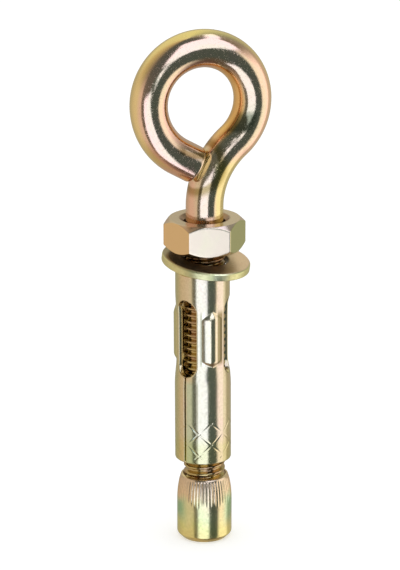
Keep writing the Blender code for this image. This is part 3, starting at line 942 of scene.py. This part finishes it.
def bolt_plating(tip, heading):
    """Golden outside the eye, a coppery painted reflection inside it, pink and yellow on the neck, brown on
    the thread. Painted shade beside the cut tip, on the tail, high on the neck and under the nut.
    """
    material, nodes, place, colour = plating(
        "bolt_plating_look", ROD_TINTS, roughness=0.09, grain=0.005 * MM, ripple=0.01 * MM, dull=0.2
    )
    measures = bolt_measures(nodes, place, tip, heading)
    height = measures["height"]
    neck = nodes.mix(nodes.fade(measures["across"], NECK_LEFT_ZONE), colour, NECK_LEFT)
    neck = nodes.mix(nodes.fade(measures["across"], NECK_RIGHT_ZONE), neck, NECK_RIGHT)
    eye = eye_tint(nodes, measures, colour)
    colour = nodes.mix(nodes.fade(measures["rise"], EYE_ZONE), neck, eye)
    colour = nodes.mix(nodes.fade(measures["to_tip"], CUT_END_ZONE), colour, CUT_END)
    # Painted shade: beside the cut tip, on the tail's upper side near the tip, and over a streak high on the
    # neck
    for zones, shade in (
        (BEHIND_TIP_ZONES, NECK_SHADE_BEHIND_TIP),
        (TAIL_TOP_ZONES, TAIL_SHADE),
        (NECK_TOP_ZONES, NECK_TOP_SHADE),
    ):
        colour = nodes.mix(nodes.inside(measures, zones), colour, shade, "MULTIPLY")

    patches = nodes.noise(nodes.stretched(place, THREAD_PATCHES), 1.0)
    thread = nodes.mix(nodes.ease(patches, 0.4, 0.6), THREAD_GOLD, THREAD_RED)
    # Painted shade on the thread between the sleeve and the nut
    shade_under_nut = nodes.ease(height, SLEEVE_TOP, SLEEVE_TOP + THREAD_FADE)
    thread = nodes.mix(shade_under_nut, thread, THREAD_SHADE_UNDER_NUT, "MULTIPLY")
    on_thread = nodes.ease(height, NUT_TOP, NUT_TOP - THREAD_FADE)
    nodes.colour_surface(nodes.mix(on_thread, colour, thread))
    return material


def bolt_measures(nodes, place, tip, heading):
    """Where a point of the rod is, from its axis, from the eye's centre and from the cut tip."""
    across, depth, height = nodes.parts(place)
    along = nodes.math("MULTIPLY", across, math.cos(EYE_TURN))
    along = nodes.math("ADD", along, nodes.math("MULTIPLY", depth, math.sin(EYE_TURN)))
    rise = nodes.math("SUBTRACT", height, NUT_TOP + EYE_ABOVE_NUT)
    in_plane = nodes.add("ShaderNodeCombineXYZ", {"X": nodes.math("ADD", along, EYE_OFFSET), "Y": rise})
    from_tip = nodes.add("ShaderNodeVectorMath", {0: place, 1: tuple(tip)}, operation="SUBTRACT").outputs[0]
    beyond_tip = nodes.add("ShaderNodeVectorMath", {0: from_tip, 1: tuple(heading)}, operation="DOT_PRODUCT")
    return {
        "across": across,
        "height": height,
        "along": along,
        "rise": rise,
        "from_centre": nodes.length(in_plane.outputs[0]),
        "to_tip": nodes.length(from_tip),
        "beyond_tip": beyond_tip.outputs["Value"],
    }


def eye_tint(nodes, measures, colour):
    """The eye's tint, from its inside to its outside. The inside band is a painted reflection of the ring's
    opposite side, narrower on the right.
    """
    along = measures["along"]
    from_centre = measures["from_centre"]
    # Painted reflection of the ring's opposite side on the eye's inside
    inside_reflection = nodes.mix(nodes.fade(along, INSIDE_RIGHT_ZONE), ROD_INSIDE_REFLECTION, ROD_INSIDE_RIGHT_REFLECTION)
    narrowed = nodes.ease(along, 0.0, INSIDE_NARROWS_TO, 0.0, INSIDE_NARROWED_BY)
    inward = nodes.math("ADD", from_centre, narrowed)
    eye = nodes.mix(nodes.fade(from_centre, SHOULDER_ZONE), colour, ROD_SHOULDER)
    eye = nodes.mix(nodes.fade(from_centre, OUTSIDE_ZONE), eye, ROD_OUTSIDE)
    return nodes.mix(nodes.fade(inward, INSIDE_ZONE), eye, inside_reflection)


def nut_plating():
    """Painted light and shade by face: pale in front, orange on the left, olive on the right, the top darker
    on the left. Painted shade in the bore.
    """
    material, nodes, place, colour = plating(
        "nut_plating_look",
        NUT_TINTS,
        roughness=0.2,
        grain=0.0004 * MM,
        ripple=0.001 * MM,
        seed=7.0,
        dull=0.01,
        uneven=0.04,
    )
    across = nodes.parts(place)["X"]
    # Painted light and shade by face
    colour = nodes.mix(nodes.fade(across, NUT_LEFT_ZONE), colour, NUT_LEFT_REFLECTION)
    colour = nodes.mix(nodes.fade(across, NUT_RIGHT_ZONE), colour, NUT_RIGHT_SHADE)
    top = nodes.mix(nodes.fade(across, NUT_TOP_ZONE), NUT_TOP_LEFT_SHADE, NUT_TOP_RIGHT_LIGHT)
    colour = nodes.mix(nodes.ease(nodes.upward(), 0.5, 0.8), colour, top)
    # Painted shade in the bore
    in_bore = nodes.fade(nodes.from_axis(place), NUT_BORE_ZONE)
    nodes.colour_surface(nodes.mix(in_bore, colour, NUT_BORE_SHADE))
    return material


def washer_plating():
    """Greenish yellow on the rim with a painted highlight; painted shade on the top round the nut, pinkish to
    the right; painted shade inside the hole.
    """
    material, nodes, place, colour = plating(
        "washer_plating_look", WASHER_TINTS, roughness=0.34, grain=0.004 * MM, ripple=0.006 * MM, seed=13.0
    )
    across = nodes.parts(place)["X"]
    # Painted highlight on the rim
    glint = nodes.inside({"across": across}, WASHER_GLINT_ZONES)
    rim = nodes.mix(glint, colour, WASHER_GLINT)
    # Painted shade on the top round the nut, pinkish to the right
    top = nodes.mix(nodes.fade(across, WASHER_RIGHT_ZONE), WASHER_TOP_SHADE, WASHER_RIGHT)
    colour = nodes.mix(nodes.ease(nodes.upward(), 0.6, 0.95), rim, top)
    # Painted shade in the hole
    in_hole = nodes.fade(nodes.from_axis(place), WASHER_HOLE_ZONE)
    nodes.colour_surface(nodes.mix(in_hole, colour, WASHER_HOLE_SHADE))
    return material


def ramp_along(nodes, distance, stops):
    """Colours at given places along one direction, in millimetres."""
    start = stops[0][0]
    length = stops[-1][0] - start
    share = nodes.ease(distance, start * MM, (start + length) * MM)
    share.node.interpolation_type = "LINEAR"
    return nodes.ramp(share, [((place - start) / length, colour) for place, colour in stops])


def sleeve_plating():
    """Painted shade at both sides and a painted highlight right of the front; below the windows, greenish
    beside the slit with a painted dark band; the rib's flanks painted light and dark; yellower at the lower
    end.
    """
    material, nodes, place, colour = plating(
        "sleeve_plating_look", SLEEVE_TINTS, roughness=0.16, grain=0.003 * MM, ripple=0.006 * MM, seed=21.0
    )
    across, _, height = nodes.parts(place)
    window_end = SLEEVE_BOTTOM + WINDOW_BOTTOM
    below = nodes.ease(height, window_end, window_end - WINDOW_FADE)
    low = SLEEVE_BOTTOM + RIB_BOTTOM
    high = SLEEVE_BOTTOM + RIB_TOP
    above_rib_end = nodes.ease(height, low + 0.2 * MM, low + 1.2 * MM)
    below_rib_end = nodes.ease(height, high + 0.2 * MM, high - 1.2 * MM)
    on_rib = nodes.product([above_rib_end, below_rib_end])
    # Painted light and shade across the sleeve, below the windows and on the rib's flanks
    for where, stops in ((1.0, SLEEVE_LIGHT_AND_SHADE_ACROSS), (below, SLEEVE_BELOW_TINT_AND_SHADE), (on_rib, SLEEVE_RIB_LIGHT_AND_SHADE)):
        colour = nodes.mix(where, colour, ramp_along(nodes, across, stops), "MULTIPLY")
    colour = nodes.mix(nodes.fade(height, SLEEVE_LOW_ZONE), colour, SLEEVE_LOW_END, "MULTIPLY")
    nodes.colour_surface(colour)
    return material


def cone_plating():
    """Pinkish brown on the flutes, yellower towards the base, with painted green shade at both sides."""
    material, nodes, place, colour = plating(
        "cone_plating_look",
        CONE_TINTS,
        roughness=0.2,
        grain=0.002 * MM,
        ripple=0.004 * MM,
        seed=34.0,
        dull=0.04,
    )
    across, _, height = nodes.parts(place)
    wander = nodes.noise(nodes.stretched(place, CONE_WANDER_SCALE), 1.0)
    level = nodes.math("ADD", height, nodes.ease(wander, 0.3, 0.7, -CONE_WANDER, CONE_WANDER))
    tint = ramp_along(nodes, level, CONE_UPWARD)
    # Painted green shade at both sides
    side = nodes.fade(nodes.math("ABSOLUTE", across), CONE_SIDE_ZONE)
    band = nodes.inside({"level": level}, CONE_BAND_ZONES)
    tint = nodes.mix(nodes.product([side, band]), tint, CONE_SIDE_SHADE)
    nodes.colour_surface(nodes.mix(1.0, colour, tint, "MULTIPLY"))
    return material


# Studio. Directions are (azimuth, elevation) in degrees: azimuth 0 is the camera's side, 90 is to the right.

UPPER_WALL = [
    (-180, (0.85, 0.85, 0.58)),
    (-130, (0.80, 0.76, 0.58)),
    (-100, (0.62, 0.50, 0.36)),
    (-60, (0.32, 0.28, 0.22)),
    (-40, (0.11, 0.125, 0.115)),
    (-15, (0.085, 0.11, 0.12)),
    (70, (0.12, 0.14, 0.14)),
    (90, (0.24, 0.23, 0.19)),
    (130, (0.34, 0.36, 0.33)),
    (160, (0.60, 0.62, 0.50)),
    (180, (0.85, 0.85, 0.58)),
]
MIDDLE_WALL = [
    (-180, (0.45, 0.43, 0.36)),
    (-135, (0.52, 0.47, 0.38)),
    (-95, (0.74, 0.63, 0.55)),
    (-48, (0.76, 0.67, 0.60)),
    (-42, (0.19, 0.17, 0.15)),
    (-30, (0.17, 0.165, 0.15)),
    (20, (0.085, 0.11, 0.12)),
    (57, (0.085, 0.11, 0.12)),
    (66, (1.28, 1.18, 1.20)),
    (104, (1.35, 1.25, 1.25)),
    (116, (0.62, 0.56, 0.46)),
    (180, (0.45, 0.43, 0.36)),
]
LOWER_WALL = [
    (-180, (0.48, 0.40, 0.34)),
    (-90, (0.50, 0.40, 0.30)),
    (-50, (0.50, 0.36, 0.28)),
    (-20, (0.28, 0.20, 0.17)),
    (5, (0.16, 0.13, 0.11)),
    (60, (0.12, 0.09, 0.08)),
    (120, (0.24, 0.18, 0.15)),
    (180, (0.48, 0.40, 0.34)),
]
LOWER_TO_MIDDLE = (-60, -35)
MIDDLE_TO_UPPER = (5, 35)
PLAIN_LIGHT = (0.8, 0.8, 0.8)
PAPER_WHITE = (1.0, 1.0, 1.0)
FLOOR_TONE = (0.8, 0.8, 0.8)
FLOOR_GLOW = 0.45
FLOOR_HALF = 2.0
SOFTBOX = (1.32, 1.42, 1.90)
FRONT_BOX = [(-27, -50), (22, -62), (20, -14), (2, 4), (-27, 3)]
OVERHEAD_BOX = [(4, 64), (4, 24), (23, 9), (42, 9), (80, 28), (84, 44), (84, 64)]
LINK_BOX = [(7, 11), (13, 15), (24, 3), (18, 0)]
REAR_STRIP = [(80, 52), (140, 58), (140, 70), (80, 70)]
BOX_SOFTNESS = 3.5


def wall(nodes, azimuth, stops):
    """One level of the studio's walls, as a ramp round the compass."""
    turn = nodes.math("MULTIPLY_ADD", azimuth, 1 / 360)
    turn.node.inputs[2].default_value = 0.5
    return nodes.ramp(turn, [((degrees + 180) / 360, colour) for degrees, colour in stops])


def soft_polygon(nodes, azimuth, elevation, corners, softness):
    """1 inside a convex polygon of directions, fading to 0 over its softness."""
    spot = nodes.add("ShaderNodeCombineXYZ", {"X": azimuth, "Y": elevation, "Z": 1.0}).outputs[0]
    centre = np.mean(corners, axis=0)
    mask = 1.0
    for (a0, e0), (a1, e1) in zip(corners, corners[1:] + corners[:1]):
        normal = np.array([e0 - e1, a1 - a0]) / math.hypot(a1 - a0, e1 - e0)
        offset = float(normal @ np.array([a0, e0]))
        if normal @ centre < offset:
            normal, offset = -normal, -offset
        line = (normal[0], normal[1], -offset)
        node = nodes.add("ShaderNodeVectorMath", {0: spot, 1: line}, operation="DOT_PRODUCT")
        inside = nodes.ease(node.outputs["Value"], -0.5 * softness, 0.5 * softness)
        mask = nodes.math("MULTIPLY", inside, mask)
    return mask


def make_world():
    """Softboxes and toned walls for what the metal mirrors, plain white for everything else."""
    world = bpy.data.worlds.new("studio")
    world.use_nodes = True
    bpy.context.scene.world = world
    nodes = Nodes(world.node_tree)
    background = world.node_tree.nodes["Background"]

    direction = nodes.add("ShaderNodeTexCoord").outputs["Generated"]
    parts = nodes.parts(direction)
    toward_camera = nodes.math("MULTIPLY", parts["Y"], -1.0)
    azimuth = nodes.math("MULTIPLY", nodes.math("ARCTAN2", parts["X"], toward_camera), math.degrees(1))
    elevation = nodes.math("MULTIPLY", nodes.math("ARCSINE", parts["Z"]), math.degrees(1))

    lower = wall(nodes, azimuth, LOWER_WALL)
    middle = wall(nodes, azimuth, MIDDLE_WALL)
    upper = wall(nodes, azimuth, UPPER_WALL)
    colour = nodes.mix(nodes.ease(elevation, *LOWER_TO_MIDDLE), lower, middle)
    colour = nodes.mix(nodes.ease(elevation, *MIDDLE_TO_UPPER), colour, upper)
    for corners in (FRONT_BOX, OVERHEAD_BOX, LINK_BOX, REAR_STRIP):
        mask = soft_polygon(nodes, azimuth, elevation, corners, BOX_SOFTNESS)
        colour = nodes.mix(mask, colour, SOFTBOX)

    rays = nodes.add("ShaderNodeLightPath").outputs
    plain = nodes.mix(rays["Is Camera Ray"], PLAIN_LIGHT, PAPER_WHITE)
    nodes.put(background.inputs["Color"], nodes.mix(rays["Is Glossy Ray"], plain, colour))


def make_floor():
    """A white floor that keeps a faint shadow."""
    corners = [(-1, -1), (1, -1), (1, 1), (-1, 1)]
    mesh = bpy.data.meshes.new("floor")
    mesh.from_pydata([(x * FLOOR_HALF, y * FLOOR_HALF, 0) for x, y in corners], [], [(0, 1, 2, 3)])
    material = bpy.data.materials.new("floor_paper")
    material.use_nodes = True
    shader = material.node_tree.nodes["Principled BSDF"]
    shader.inputs["Base Color"].default_value = (*FLOOR_TONE, 1.0)
    shader.inputs["Roughness"].default_value = 1.0
    shader.inputs["Specular IOR Level"].default_value = 0.0
    shader.inputs["Emission Color"].default_value = (*PAPER_WHITE, 1.0)
    shader.inputs["Emission Strength"].default_value = FLOOR_GLOW
    mesh.materials.append(material)
    floor = bpy.data.objects.new("floor", mesh)
    bpy.context.scene.collection.objects.link(floor)
    floor.visible_glossy = False


def make_camera():
    camera = bpy.data.cameras.new("camera")
    camera.lens = CAMERA_LENS
    camera.sensor_width = CAMERA_SENSOR
    camera.clip_end = CAMERA_CLIP_END
    item = bpy.data.objects.new("camera", camera)
    back = Vector((0.0, -math.cos(CAMERA_TILT), math.sin(CAMERA_TILT)))
    item.location = CAMERA_AIM + back * CAMERA_DISTANCE
    item.rotation_euler = back.to_track_quat("Z", "Y").to_euler()
    bpy.context.scene.collection.objects.link(item)
    bpy.context.scene.camera = item


make_camera()
make_world()
make_floor()
make_eye_bolt()
make_cone_nut()
make_sleeve()
make_washer()
make_nut()
bpy.context.scene.view_settings.view_transform = "Standard"
